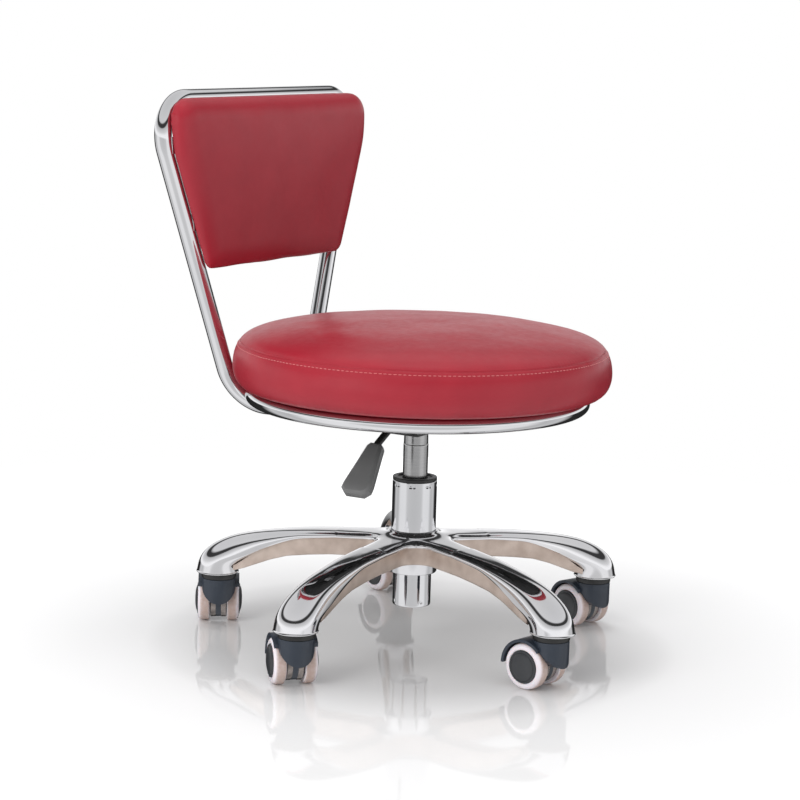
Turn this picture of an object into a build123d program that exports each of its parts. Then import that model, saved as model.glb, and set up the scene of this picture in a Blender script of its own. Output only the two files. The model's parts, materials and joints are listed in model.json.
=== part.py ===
"""Rolling stylist stool: five-star base on twin-wheel casters, gas-lift column,
round cushion on a tube ring, and a low backrest on one bent tube.

Units are millimetres. +Z is up, the origin is on the floor under the column axis, and the
sitter faces -Y. Each function returns one node, and the last lines write every node to parts/.
"""

import math
import os

from build123d import *

# ---------------------------------------------------------------- base and casters
ARM_COUNT = 5
FIRST_ARM_ANGLE = 34.6
ARM_STEP = 360 / ARM_COUNT
STEM_CIRCLE_R = 229.0
ARM_HALF_WIDTH = 20.0
ARM_WAIST_HALF_WIDTH = 18.5
ARM_WAIST_R = 125.0
BOSS_R = 24.0
WEB_FILLET = 18.0
SKIRT_INSET = 4.5
CHANNEL_INSET = 9.0
BOSS_BOTTOM_Z = 62.0
HUB_TOP_Z = 131.0
HUB_COLLAR_R = 28.0
HUB_FLANGE_R = 27.3
HUB_BOTTOM_Z = 83.0

STEM_R = 5.5
STEM_TOP_Z = 84.0
STEM_BOTTOM_Z = 33.0
COLLAR_R = 20.0
COLLAR_BOTTOM_Z = 55.2
HOOD_TOP_Z = 54.9
HOOD_R = 19.5
HOOD_BIB_BOTTOM_Z = 26.7
WHEEL_R = 25.0
WHEEL_INNER_Y = 10.3
WHEEL_OUTER_Y = 23.6
TRAIL = 19.0
AXLE_R = 3.0
AXLE_HALF = 22.0
HUB_DISC_R = 17.8
HUB_DOME = 3.5
FENDER_GAP = 1.4
FENDER_WALL = 3.2
WEB_HALF = 9.3
RUNNING_CLEARANCE = 0.05
# Direction of each caster's trail, arm by arm, as the casters happen to stand.
TRAIL_ANGLES = [65.0, 34.5, 45.0, 78.0, 70.0]

# ---------------------------------------------------------------- gas lift
COLUMN_R = 25.0
COLUMN_INNER_R = 23.0
COLUMN_TOP_Z = 187.7
TAPER_TOP_Z = 131.0
TAPER_BOTTOM_Z = 90.0
COLUMN_END_R = 21.5
COLUMN_END_INNER_R = 19.5
COLUMN_BOTTOM_Z = 44.5
END_PLATE_Z = (48.5, 51.5)
BUSH_BOTTOM_Z = 137.0
BUSH_TOP_Z = 191.2
ROD_R = 5.0
ROD_TOP_Z = 176.0
ROD_BOTTOM_Z = 45.1
PISTON_Z = (164.0, 174.0)
CLIP_Z = (46.6, 48.2)
CYLINDER_R = 14.0
CYLINDER_INNER_R = 12.2
CYLINDER_BOTTOM_Z = 88.0
CYLINDER_TAPER_Z = 228.6
CYLINDER_TOP_Z = 269.0
CYLINDER_TOP_R = 13.1
PIN_R = 3.0
BALL_R = 1.6
BALL_CIRCLE_R = 8.6
BALL_COUNT = 8
RACE_R = 12.0
RACE_THICKNESS = 1.5
BUFFER_TOP_Z = 67.7

# ---------------------------------------------------------------- seat
RING_R = 184.0
RING_TUBE_R = 8.0
RING_Z = 281.0
TUBE_WALL = 1.5
STRAP_Z = (284.3, 288.3)
STRAP_WIDTH = 25.0
STRAP_Y = 45.0
BRACKET_TOP_Z = STRAP_Z[0]
BRACKET_THICKNESS = 3.0
BRACKET_BOTTOM_Z = 244.0
BOLT_X = 60.0
BOLT_R = 3.0
BOLT_HOLE_R = 3.2
BOARD_Z = (289.3, 301.3)
BOARD_R = 176.0
SEAT_CENTRE_Y = -5.0

# ---------------------------------------------------------------- release lever
PIVOT_X = -24.0
PIVOT_Z = 270.4
PIVOT_R = 2.0
LEVER_ROD_R = 4.0
LEVER_PATH = [(2.0, 277.0), (-12.0, 277.0), (-84.0, 240.0), (-102.0, 220.4)]
LEVER_BEND_R = 14.0
PADDLE_ROOT = (-85.0, 239.5)
PADDLE_TIP = (-130.0, 191.0)
PADDLE_TOP_WIDTH = 19.0
PADDLE_WIDTH = 35.0
PADDLE_THICKNESS = 12.0

# ---------------------------------------------------------------- backrest
FRAME_TUBE_R = 9.5
FRAME_BASE_HALF = 81.5
FRAME_BASE_Y = 196.7
FRAME_SPLAY = 0.383
FRAME_RECLINE = 0.071
FRAME_TOP_Z = 605.3
FRAME_CORNER_R = 42.0
FRAME_FOOT_R = 46.0
FRAME_FOOT_Z = 264.0
FRAME_FOOT_END_Y = 95.0
PAD_HALF_WIDTH = 192.0
PAD_BOTTOM = 137.5
PAD_TOP = 325.0
PAD_REAR = 9.8
PAD_FRONT = 37.0
BACK_BOARD_THICKNESS = 9.0
BACK_BOARD_INSET = 9.0
TAB_HEIGHTS = (190.0, 275.0)
TAB_THICKNESS = 2.5
SCREW_R = 2.4

SLOPE = math.hypot(1, FRAME_RECLINE)
BACK_PLANE = Plane(
    origin=(0, FRAME_BASE_Y, RING_Z), x_dir=(1, 0, 0), z_dir=(0, -1 / SLOPE, FRAME_RECLINE / SLOPE)
)


def lathe(*points):
    """A solid turned about Z from a closed outline of (radius, height) points."""
    return revolve(Plane.XZ * make_face(Polyline(*points, close=True)), Axis.Z)


def tube(inner_r, outer_r, bottom, top):
    """A plain ring or washer about Z."""
    return lathe((inner_r, bottom), (outer_r, bottom), (outer_r, top), (inner_r, top))


def rod(radius, bottom, top):
    """A plain round bar along Z."""
    return Pos(0, 0, bottom) * Cylinder(radius, top - bottom, align=(Align.CENTER, Align.CENTER, Align.MIN))


def cross_bar(radius, half_length):
    """A round bar centred on the origin, along Y."""
    return Rot(90, 0, 0) * Cylinder(radius, 2 * half_length)


def arm_angles():
    return [FIRST_ARM_ANGLE + ARM_STEP * i for i in range(ARM_COUNT)]


# ================================================================ base casting


def star_plan(inset=0.0):
    """The star seen from above, drawn in from its edge by inset."""
    arm = make_face(
        Polyline(
            (0, -ARM_HALF_WIDTH),
            (ARM_WAIST_R, -ARM_WAIST_HALF_WIDTH),
            (STEM_CIRCLE_R, -BOSS_R),
            (STEM_CIRCLE_R, BOSS_R),
            (ARM_WAIST_R, ARM_WAIST_HALF_WIDTH),
            (0, ARM_HALF_WIDTH),
            close=True,
        )
    )
    arm += Pos(STEM_CIRCLE_R, 0) * Circle(BOSS_R)
    plan = Sketch() + [Rot(0, 0, a) * arm for a in arm_angles()]
    corners = plan.vertices().filter_by(lambda v: math.hypot(v.X, v.Y) < 2 * ARM_HALF_WIDTH)
    plan = fillet(corners, WEB_FILLET)
    return offset(plan, -inset) if inset else plan


def turned_about_z(edge_lines):
    return revolve(Plane.XZ * make_face(edge_lines), Axis.Z)


def cap_sweep():
    """The polished top of every arm, as one solid turned about the column."""
    top = Spline((0, 126.5), (100, 123.7), (172, 116.5), (216, 106), (243, 89), (254.6, 66))
    tip = Line((254.6, 66), (254.6, BOSS_BOTTOM_Z))
    floor_line = Line((254.6, BOSS_BOTTOM_Z), (206, BOSS_BOTTOM_Z))
    lip = Spline((206, BOSS_BOTTOM_Z), (194, 78), (175, 93), (133, 112), (75, 118.5))
    close = Polyline((75, 118.5), (0, 118.5), (0, 126.5))
    return turned_about_z(top + tip + floor_line + lip + close)


def skirt_sweep():
    """The unpolished rib under every arm."""
    bottom = Spline((50, 100), (95, 97), (145, 91), (180, 77.5), (205, 66))
    outline = bottom + Polyline((205, 66), (205, 85), (172, 108), (60, 120), (0, 120), (0, 100), (50, 100))
    return turned_about_z(outline)


def channel_sweep():
    """The hollow cast into the underside of the ribs."""
    return lathe((62, 90), (62, 114), (120, 110), (165, 99), (190, 82), (190, 60), (62, 60))


def star_base():
    casting = extrude(star_plan(), 150) & cap_sweep()
    skirt = extrude(star_plan(SKIRT_INSET), 150) & skirt_sweep()
    skirt -= extrude(star_plan(CHANNEL_INSET), 150) & channel_sweep()
    hub = lathe(
        (0, HUB_BOTTOM_Z),
        (HUB_FLANGE_R, HUB_BOTTOM_Z),
        (HUB_FLANGE_R, 96),
        (38, 104),
        (40, 121),
        (38, 125.6),
        (32, 126.8),
        (29, 129),
        (HUB_COLLAR_R, HUB_TOP_Z),
        (0, HUB_TOP_Z),
    )
    casting = casting + skirt + hub
    casting -= column_envelope()
    for angle in arm_angles():
        casting -= Rot(0, 0, angle) * Pos(STEM_CIRCLE_R, 0, 0) * rod(STEM_R, BOSS_BOTTOM_Z - 1, STEM_TOP_Z)
    return casting


def column_envelope():
    """The space the column's outside fills in the hub."""
    return lathe(
        (0, COLUMN_BOTTOM_Z),
        (COLUMN_END_R, COLUMN_BOTTOM_Z),
        (COLUMN_END_R, TAPER_BOTTOM_Z),
        (COLUMN_R, TAPER_TOP_Z),
        (COLUMN_R, TAPER_TOP_Z + 5),
        (0, TAPER_TOP_Z + 5),
    )


# ================================================================ casters


def at_stem(index, shape):
    """Moves a caster piece from its own frame, stem on Z and trail along +X, to its arm."""
    angle = math.radians(FIRST_ARM_ANGLE + ARM_STEP * index)
    place = Pos(STEM_CIRCLE_R * math.cos(angle), STEM_CIRCLE_R * math.sin(angle), 0)
    return place * Rot(0, 0, TRAIL_ANGLES[index]) * shape


def on_every_stem(shape):
    return Compound([at_stem(i, shape) for i in range(ARM_COUNT)])


def caster_stem():
    return chamfer(rod(STEM_R, STEM_BOTTOM_Z, STEM_TOP_Z).edges(), 0.8)


def caster_collar():
    return lathe(
        (STEM_R, COLLAR_BOTTOM_Z),
        (COLLAR_R - 0.8, COLLAR_BOTTOM_Z),
        (COLLAR_R, COLLAR_BOTTOM_Z + 0.8),
        (COLLAR_R, BOSS_BOTTOM_Z - 0.8),
        (COLLAR_R - 0.8, BOSS_BOTTOM_Z),
        (STEM_R, BOSS_BOTTOM_Z),
    )


def at_axle(shape):
    return Pos(TRAIL, 0, WHEEL_R) * shape


def caster_hood():
    """Hood with a U-shaped bib in front of the wheels, a fender over them and a web between."""
    front = rod(HOOD_R, HOOD_BIB_BOTTOM_Z, HOOD_TOP_Z)
    bib_centre_z = HOOD_BIB_BOTTOM_Z + HOOD_R
    bib = Plane.YZ * (
        Pos(0, bib_centre_z) * Circle(HOOD_R)
        + Pos(0, (bib_centre_z + 80) / 2) * Rectangle(2 * HOOD_R, 80 - bib_centre_z)
    )
    front &= extrude(bib, 2 * HOOD_R, both=True)
    fender_r = WHEEL_R + FENDER_GAP + FENDER_WALL
    fender = at_axle(cross_bar(fender_r, WHEEL_OUTER_Y))
    fender &= Pos(0, 0, WHEEL_R) * Box(
        TRAIL + fender_r, 60, HOOD_TOP_Z - WHEEL_R, align=(Align.MIN, Align.CENTER, Align.MIN)
    )
    hood = front + fender
    clearance = at_axle(cross_bar(WHEEL_R + FENDER_GAP, 40))
    hood -= clearance - Box(200, 2 * WEB_HALF, 200)
    web = at_axle(cross_bar(WHEEL_R - 4, WEB_HALF))
    hood += web
    hood -= rod(STEM_R + RUNNING_CLEARANCE, STEM_BOTTOM_Z - 1, HOOD_TOP_Z + 1)
    return hood - at_axle(cross_bar(AXLE_R, 30))


def caster_axle():
    return at_axle(chamfer(cross_bar(AXLE_R, AXLE_HALF).edges(), 0.5))


def wheel_part(outline, side):
    """Turns an outline of (radius, distance from the caster's middle) about the axle."""
    turned = revolve(Plane.XZ * make_face(outline), Axis.Z)
    return at_axle(Rot(90 * side, 0, 0) * turned)


def wheel_tyre(side):
    shoulder = 4.5
    outline = Polyline(
        (HUB_DISC_R, WHEEL_INNER_Y),
        (WHEEL_R - 1.5, WHEEL_INNER_Y),
        (WHEEL_R, WHEEL_INNER_Y + 1.5),
        (WHEEL_R, WHEEL_OUTER_Y - shoulder),
    )
    outline += RadiusArc(
        (WHEEL_R, WHEEL_OUTER_Y - shoulder), (WHEEL_R - shoulder, WHEEL_OUTER_Y), -shoulder
    )
    outline += Polyline(
        (WHEEL_R - shoulder, WHEEL_OUTER_Y), (HUB_DISC_R, WHEEL_OUTER_Y), (HUB_DISC_R, WHEEL_INNER_Y)
    )
    return wheel_part(outline, side)


def wheel_hub(side):
    bore = AXLE_R + RUNNING_CLEARANCE
    face = WHEEL_OUTER_Y + HUB_DOME
    outline = Polyline(
        (0, AXLE_HALF + 0.2),
        (bore, AXLE_HALF + 0.2),
        (bore, WHEEL_INNER_Y),
        (7, WHEEL_INNER_Y),
        (9, WHEEL_INNER_Y + 2),
        (HUB_DISC_R, WHEEL_INNER_Y + 2),
        (HUB_DISC_R, WHEEL_OUTER_Y + 1),
    )
    outline += Spline(
        (HUB_DISC_R, WHEEL_OUTER_Y + 1),
        (11, face - 0.6),
        (0, face),
        tangents=[(-1, 0.3), (-1, 0)],
    )
    outline += Line((0, face), (0, AXLE_HALF + 0.2))
    return wheel_part(outline, side)


# ================================================================ gas lift


def column_tube():
    return lathe(
        (COLUMN_END_R, COLUMN_BOTTOM_Z),
        (COLUMN_END_R, TAPER_BOTTOM_Z),
        (COLUMN_R, TAPER_TOP_Z),
        (COLUMN_R, COLUMN_TOP_Z),
        (COLUMN_INNER_R, COLUMN_TOP_Z),
        (COLUMN_INNER_R, TAPER_TOP_Z),
        (COLUMN_END_INNER_R, TAPER_BOTTOM_Z),
        (COLUMN_END_INNER_R, END_PLATE_Z[1]),
        (ROD_R + RUNNING_CLEARANCE, END_PLATE_Z[1]),
        (ROD_R + RUNNING_CLEARANCE, END_PLATE_Z[0]),
        (COLUMN_END_INNER_R, END_PLATE_Z[0]),
        (COLUMN_END_INNER_R, COLUMN_BOTTOM_Z),
    )


def guide_bush():
    bore = CYLINDER_R + RUNNING_CLEARANCE
    return lathe(
        (bore, BUSH_BOTTOM_Z),
        (COLUMN_INNER_R, BUSH_BOTTOM_Z),
        (COLUMN_INNER_R, COLUMN_TOP_Z),
        (COLUMN_R - 1, COLUMN_TOP_Z),
        (COLUMN_R - 1, BUSH_TOP_Z - 1),
        (COLUMN_R - 2, BUSH_TOP_Z),
        (bore + 4, BUSH_TOP_Z),
        (bore, BUSH_TOP_Z - 2),
    )


def lower_race_top():
    return END_PLATE_Z[1] + RACE_THICKNESS


def upper_race_bottom():
    return lower_race_top() + 2 * BALL_R


def bearing_lower_race():
    return tube(ROD_R + 0.4, RACE_R, END_PLATE_Z[1], lower_race_top())


def bearing_balls():
    ball = Pos(BALL_CIRCLE_R, 0, lower_race_top() + BALL_R) * Sphere(BALL_R)
    return Compound([Rot(0, 0, 360 / BALL_COUNT * i) * ball for i in range(BALL_COUNT)])


def bearing_upper_race():
    bottom = upper_race_bottom() + 0.1
    return tube(ROD_R, RACE_R, bottom, bottom + RACE_THICKNESS)


def rubber_buffer():
    bottom = upper_race_bottom() + 0.1 + RACE_THICKNESS
    return tube(ROD_R, 10, bottom, BUFFER_TOP_Z)


def piston_rod():
    groove = tube(ROD_R - 1, ROD_R + 1, *CLIP_Z)
    return rod(ROD_R, ROD_BOTTOM_Z, ROD_TOP_Z) - groove


def rod_clip():
    ring = tube(ROD_R - 1, ROD_R + 3.5, *CLIP_Z)
    return ring - Pos(ROD_R + 2, 0, sum(CLIP_Z) / 2) * Box(8, 4, 4)


def piston():
    return tube(ROD_R, CYLINDER_INNER_R - 0.08, *PISTON_Z)


def gas_cylinder():
    cap_bottom = CYLINDER_TOP_Z - 10
    return lathe(
        (CYLINDER_R, CYLINDER_BOTTOM_Z),
        (CYLINDER_R, CYLINDER_TAPER_Z),
        (CYLINDER_R - 0.35, CYLINDER_TAPER_Z + 0.4),
        (CYLINDER_TOP_R, CYLINDER_TOP_Z),
        (PIN_R + RUNNING_CLEARANCE, CYLINDER_TOP_Z),
        (PIN_R + RUNNING_CLEARANCE, cap_bottom),
        (CYLINDER_INNER_R, cap_bottom),
        (CYLINDER_INNER_R, CYLINDER_BOTTOM_Z),
    )


def cylinder_end_guide():
    return tube(
        ROD_R + RUNNING_CLEARANCE, CYLINDER_INNER_R, CYLINDER_BOTTOM_Z, CYLINDER_BOTTOM_Z + 14
    )


def release_pin():
    return rod(PIN_R, 247, LEVER_PATH[0][1] - LEVER_ROD_R - 0.3)


# ================================================================ seat support


def socket_bracket():
    """Pressed plate with a box under it that holds the cylinder's taper and the lever's pivot."""
    top = BRACKET_TOP_Z
    plate_bottom = top - BRACKET_THICKNESS
    plate = Pos(0, 0, top - BRACKET_THICKNESS / 2) * Box(150, 120, BRACKET_THICKNESS)
    plate = fillet(plate.edges().filter_by(Axis.Z), 12)
    for x in (-BOLT_X, BOLT_X):
        for y in (-STRAP_Y, STRAP_Y):
            plate -= Pos(x, y, 0) * rod(BOLT_HOLE_R, plate_bottom - 1, top + 1)
    height = plate_bottom - BRACKET_BOTTOM_Z
    side = Box(80, BRACKET_THICKNESS, height, align=(Align.CENTER, Align.CENTER, Align.MIN))
    sides = [Pos(0, y, BRACKET_BOTTOM_Z) * side for y in (-23.5, 23.5)]
    floor_plate = Pos(0, 0, BRACKET_BOTTOM_Z + BRACKET_THICKNESS / 2) * Box(80, 50, BRACKET_THICKNESS)
    socket = rod(CYLINDER_R + 4, BRACKET_BOTTOM_Z, CYLINDER_TOP_Z - 2)
    bracket = plate + sides + floor_plate + socket
    bracket -= lathe(
        (0, BRACKET_BOTTOM_Z - 20),
        (CYLINDER_R, BRACKET_BOTTOM_Z - 20),
        (CYLINDER_R, CYLINDER_TAPER_Z),
        (CYLINDER_R - 0.35, CYLINDER_TAPER_Z + 0.4),
        (CYLINDER_TOP_R, CYLINDER_TOP_Z),
        (0, CYLINDER_TOP_Z),
    )
    return bracket - Pos(PIVOT_X, 0, PIVOT_Z) * cross_bar(PIVOT_R, 40)


def lever_pivot_pin():
    return Pos(PIVOT_X, 0, PIVOT_Z) * cross_bar(PIVOT_R, 27)


def support_straps():
    """Two flat bars across the ring, welded to its inner side."""
    middle = (STRAP_Z[0] + STRAP_Z[1]) / 2
    reach = rod(RING_R, *STRAP_Z) - Pos(0, 0, RING_Z) * Torus(RING_R, RING_TUBE_R)
    bars = []
    for y in (-STRAP_Y, STRAP_Y):
        bar = Pos(0, y, middle) * Box(2 * RING_R, STRAP_WIDTH, STRAP_Z[1] - STRAP_Z[0]) & reach
        for x in (-BOLT_X, BOLT_X):
            bar -= Pos(x, y, 0) * rod(BOLT_HOLE_R, STRAP_Z[0] - 1, STRAP_Z[1] + 1)
        bars.append(bar)
    return Compound(bars)


def seat_ring():
    """Round tube bent into a ring, hollow."""
    section = Pos(RING_R, RING_Z) * (Circle(RING_TUBE_R) - Circle(RING_TUBE_R - TUBE_WALL))
    return revolve(Plane.XZ * section, Axis.Z)


def at_seat_bolts(shape):
    places = [(x, y) for x in (-BOLT_X, BOLT_X) for y in (-STRAP_Y, STRAP_Y)]
    return Compound([Pos(x, y, 0) * shape for x, y in places])


def t_nut_outside():
    flange_z = BOARD_Z[1] - 1.5
    return rod(4, BOARD_Z[0] + 1, flange_z) + rod(9, flange_z, BOARD_Z[1])


def seat_bolts():
    head_top = BRACKET_TOP_Z - BRACKET_THICKNESS
    head = extrude(Pos(0, 0, head_top - 4) * RegularPolygon(5.77, 6), 4)
    return at_seat_bolts(head + rod(BOLT_R, head_top, BOARD_Z[1] - 3))


def t_nuts():
    return at_seat_bolts(t_nut_outside() - rod(BOLT_R, BOARD_Z[0], BOARD_Z[1] + 1))


def seat_board():
    board = Pos(0, SEAT_CENTRE_Y, 0) * rod(BOARD_R, *BOARD_Z)
    board -= at_seat_bolts(t_nut_outside() + rod(4, BOARD_Z[0] - 1, BOARD_Z[1]))
    return board


def cushion_outside():
    """Round cushion: tucked under at the bottom, fullest low on the side, seam at the top edge."""
    outline = Line((0, BOARD_Z[0]), (185, BOARD_Z[0]))
    outline += Spline((185, BOARD_Z[0]), (199, 293), (208.5, 303), (210.5, 315), (208, 330), (203, 341))
    outline += Spline(
        (203, 341),
        (190, 349.5),
        (150, 359.5),
        (80, 365.5),
        (0, 367),
        tangents=[(-1, 0.9), (-1, 0)],
    )
    outline += Line((0, 367), (0, BOARD_Z[0]))
    return Pos(0, SEAT_CENTRE_Y, 0) * turned_about_z(outline)


def seat_cushion():
    pocket = Pos(0, SEAT_CENTRE_Y, 0) * rod(BOARD_R, BOARD_Z[0] - 1, BOARD_Z[1])
    return cushion_outside() - pocket


# ================================================================ release lever


def lever_rod():
    points = [(x, 0, z) for x, z in LEVER_PATH]
    path = FilletPolyline(*points, radius=LEVER_BEND_R)
    bar = sweep(Plane(origin=path @ 0, z_dir=path % 0) * Circle(LEVER_ROD_R), path=path)
    return bar - Pos(PIVOT_X, 0, PIVOT_Z) * cross_bar(PIVOT_R + RUNNING_CLEARANCE, 20)


def lever_paddle():
    """Flat tapered grip with cut corners, moulded on the rod's end."""
    dx = PADDLE_TIP[0] - PADDLE_ROOT[0]
    dz = PADDLE_TIP[1] - PADDLE_ROOT[1]
    length = math.hypot(dx, dz)
    along = (dx / length, 0, dz / length)
    outward = (dz / length, 0, -dx / length)
    half_top = PADDLE_TOP_WIDTH / 2
    half = PADDLE_WIDTH / 2
    outline = Polyline(
        (0, -half_top + 3),
        (4, -half_top),
        (length * 0.8, -half),
        (length - 6, -half),
        (length, -half + 6),
        (length, half - 6),
        (length - 6, half),
        (length * 0.8, half),
        (4, half_top),
        (0, half_top - 3),
        close=True,
    )
    slab = extrude(make_face(outline), PADDLE_THICKNESS / 2, both=True)
    slab = chamfer(slab.edges().group_by(Axis.Z)[-1], 3.0)
    slab = chamfer(slab.edges().group_by(Axis.Z)[0], 1.5)
    frame = Plane(origin=(PADDLE_ROOT[0], 0, PADDLE_ROOT[1]), x_dir=along, z_dir=outward)
    return frame * slab - lever_rod()


# ================================================================ backrest


def frame_half_width(height):
    """Distance from the middle to the tube's centre at a height up the backrest's plane."""
    return FRAME_BASE_HALF + FRAME_SPLAY * height / SLOPE


def frame_path():
    top = (FRAME_TOP_Z - RING_Z) * SLOPE
    foot_drop = FRAME_FOOT_Z - RING_Z
    foot_half = FRAME_BASE_HALF + FRAME_SPLAY * foot_drop
    foot_y = FRAME_BASE_Y + FRAME_RECLINE * foot_drop
    corner = BACK_PLANE.from_local_coords(Vector(frame_half_width(top), top, 0))
    right = [
        (foot_half, FRAME_FOOT_END_Y, FRAME_FOOT_Z),
        (foot_half, foot_y, FRAME_FOOT_Z),
        (corner.X, corner.Y, corner.Z),
    ]
    left = [(-x, y, z) for x, y, z in reversed(right)]
    radii = [FRAME_FOOT_R, FRAME_CORNER_R, FRAME_CORNER_R, FRAME_FOOT_R]
    return FilletPolyline(*right, *left, radius=radii)


def swept_on_frame(section):
    path = frame_path()
    return sweep(Plane(origin=path @ 0, z_dir=path % 0) * section, path=path)


def back_frame():
    """One tube bent into an inverted U, its feet turned forward under the seat ring."""
    wall = swept_on_frame(Circle(FRAME_TUBE_R)) - swept_on_frame(Circle(FRAME_TUBE_R - TUBE_WALL))
    return wall


def pad_outline():
    """The backrest pad from the front, in the backrest's plane: wide at the top, rounded corners."""
    right = [(134.5, PAD_BOTTOM), (186, 270), (PAD_HALF_WIDTH, PAD_TOP)]
    left = [(-x, y) for x, y in reversed(right)]
    outline = make_face(Polyline(*right, *left, close=True))
    for height, radius in ((PAD_BOTTOM, 14), (270, 120), (PAD_TOP, 34)):
        corners = outline.vertices().filter_by(lambda v: abs(v.Y - height) < 0.01)
        outline = fillet(corners, radius)
    return outline


def back_pad():
    body = BACK_PLANE * Pos(0, 0, PAD_REAR) * extrude(pad_outline(), PAD_FRONT - PAD_REAR)
    return body - board_blank()


def board_blank():
    outline = offset(pad_outline(), -BACK_BOARD_INSET)
    return BACK_PLANE * Pos(0, 0, PAD_REAR) * extrude(outline, BACK_BOARD_THICKNESS)


def back_board():
    return board_blank() - at_tabs(lambda side: rod(SCREW_R, PAD_REAR - 1, PAD_REAR + 8))


def at_tabs(make):
    """Places what make(side) returns at the middle of each of the four tabs' holes."""
    placed = []
    for height in TAB_HEIGHTS:
        for side in (-1, 1):
            x = side * (frame_half_width(height) - 26)
            placed.append(BACK_PLANE * Pos(x, height, 0) * make(side))
    return Compound(placed)


def back_tabs():
    """Four flat tabs welded to the inside of the tube, each with a hole for one screw."""

    def tab(side):
        blade = Pos(side * 7, 0, PAD_REAR - TAB_THICKNESS / 2) * Box(32, 18, TAB_THICKNESS)
        return blade - rod(SCREW_R + 0.2, 0, PAD_REAR + 1)

    envelope = swept_on_frame(Circle(FRAME_TUBE_R))
    return Compound([t - envelope for t in at_tabs(tab).solids()])


def tab_screws():
    def screw(side):
        head_top = PAD_REAR - TAB_THICKNESS
        return rod(4.5, head_top - 2.6, head_top) + rod(SCREW_R, head_top, PAD_REAR + 8)

    return at_tabs(screw)


# ================================================================ writing the nodes


def all_nodes():
    nodes = {
        "star_base": star_base(),
        "column_tube": column_tube(),
        "guide_bush": guide_bush(),
        "bearing_lower_race": bearing_lower_race(),
        "bearing_balls": bearing_balls(),
        "caster_stems": on_every_stem(caster_stem()),
        "caster_collars": on_every_stem(caster_collar()),
        "piston_rod": piston_rod(),
        "piston": piston(),
        "bearing_upper_race": bearing_upper_race(),
        "rubber_buffer": rubber_buffer(),
        "rod_clip": rod_clip(),
        "gas_cylinder": gas_cylinder(),
        "cylinder_end_guide": cylinder_end_guide(),
        "release_pin": release_pin(),
        "socket_bracket": socket_bracket(),
        "lever_pivot_pin": lever_pivot_pin(),
        "support_straps": support_straps(),
        "seat_ring": seat_ring(),
        "seat_bolts": seat_bolts(),
        "t_nuts": t_nuts(),
        "seat_board": seat_board(),
        "seat_cushion": seat_cushion(),
        "lever_rod": lever_rod(),
        "lever_paddle": lever_paddle(),
        "back_frame": back_frame(),
        "back_tabs": back_tabs(),
        "tab_screws": tab_screws(),
        "back_board": back_board(),
        "back_pad": back_pad(),
    }
    for i in range(ARM_COUNT):
        name = f"caster_{i + 1}"
        nodes[name + "_hood"] = at_stem(i, caster_hood())
        nodes[name + "_axle"] = at_stem(i, caster_axle())
        for wheel, side in (("left", 1), ("right", -1)):
            nodes[f"{name}_{wheel}_tyre"] = at_stem(i, wheel_tyre(side))
            nodes[f"{name}_{wheel}_hub"] = at_stem(i, wheel_hub(side))
    return nodes


os.makedirs("parts", exist_ok=True)
for node_name, shape in all_nodes().items():
    export_step(shape, f"parts/{node_name}.step")
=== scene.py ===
"""Looks of the rolling stylist stool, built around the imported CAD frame.

Lengths in this script are metres in the frame's own axes: +Z up, the sitter faces -Y.
Small shape details are given in millimetres through MM.
"""

import json
import math
import random

import bpy
from mathutils import Matrix, Vector, noise


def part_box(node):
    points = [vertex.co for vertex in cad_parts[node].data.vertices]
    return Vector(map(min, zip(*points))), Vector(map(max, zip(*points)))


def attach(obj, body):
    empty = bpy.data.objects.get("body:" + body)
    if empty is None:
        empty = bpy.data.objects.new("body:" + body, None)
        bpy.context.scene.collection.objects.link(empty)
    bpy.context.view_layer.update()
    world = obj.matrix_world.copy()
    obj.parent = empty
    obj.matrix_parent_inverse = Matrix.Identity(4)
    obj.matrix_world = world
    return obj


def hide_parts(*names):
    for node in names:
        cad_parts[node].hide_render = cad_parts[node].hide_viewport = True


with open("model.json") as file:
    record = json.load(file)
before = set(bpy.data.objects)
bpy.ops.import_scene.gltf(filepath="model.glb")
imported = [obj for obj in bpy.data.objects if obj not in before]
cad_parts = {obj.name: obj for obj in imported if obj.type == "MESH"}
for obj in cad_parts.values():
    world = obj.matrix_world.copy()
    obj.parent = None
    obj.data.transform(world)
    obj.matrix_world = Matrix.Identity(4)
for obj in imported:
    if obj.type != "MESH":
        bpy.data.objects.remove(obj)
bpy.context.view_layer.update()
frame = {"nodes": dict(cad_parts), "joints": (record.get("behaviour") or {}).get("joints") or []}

MM = 0.001
NODES = frame["nodes"]
JOINTS = {j["name"]: j for j in frame["joints"]}
RANDOM = random.Random(11)


# ---------------------------------------------------------------- camera


def make_camera():
    """Camera at the photograph's place: low, from the sitter's right, rolled very slightly."""
    location = Vector((-2.2169, -1.27995, 0.70927))
    heading = math.radians(59.567)
    pitch = math.radians(9.583)
    roll = math.radians(1.649)
    forward = Vector(
        (math.sin(heading) * math.cos(pitch), math.cos(heading) * math.cos(pitch), -math.sin(pitch))
    )
    level_right = Vector((math.cos(heading), -math.sin(heading), 0))
    level_up = level_right.cross(forward)
    right = level_right * math.cos(roll) + level_up * math.sin(roll)
    up = level_up * math.cos(roll) - level_right * math.sin(roll)
    data = bpy.data.cameras.new("camera")
    data.lens = 104.77
    data.sensor_width = 36
    data.clip_end = 50
    camera = bpy.data.objects.new("camera", data)
    basis = Matrix((right, up, -forward)).transposed().to_4x4()
    camera.matrix_world = Matrix.Translation(location) @ basis
    bpy.context.scene.collection.objects.link(camera)
    bpy.context.scene.camera = camera


# ---------------------------------------------------------------- materials


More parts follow.
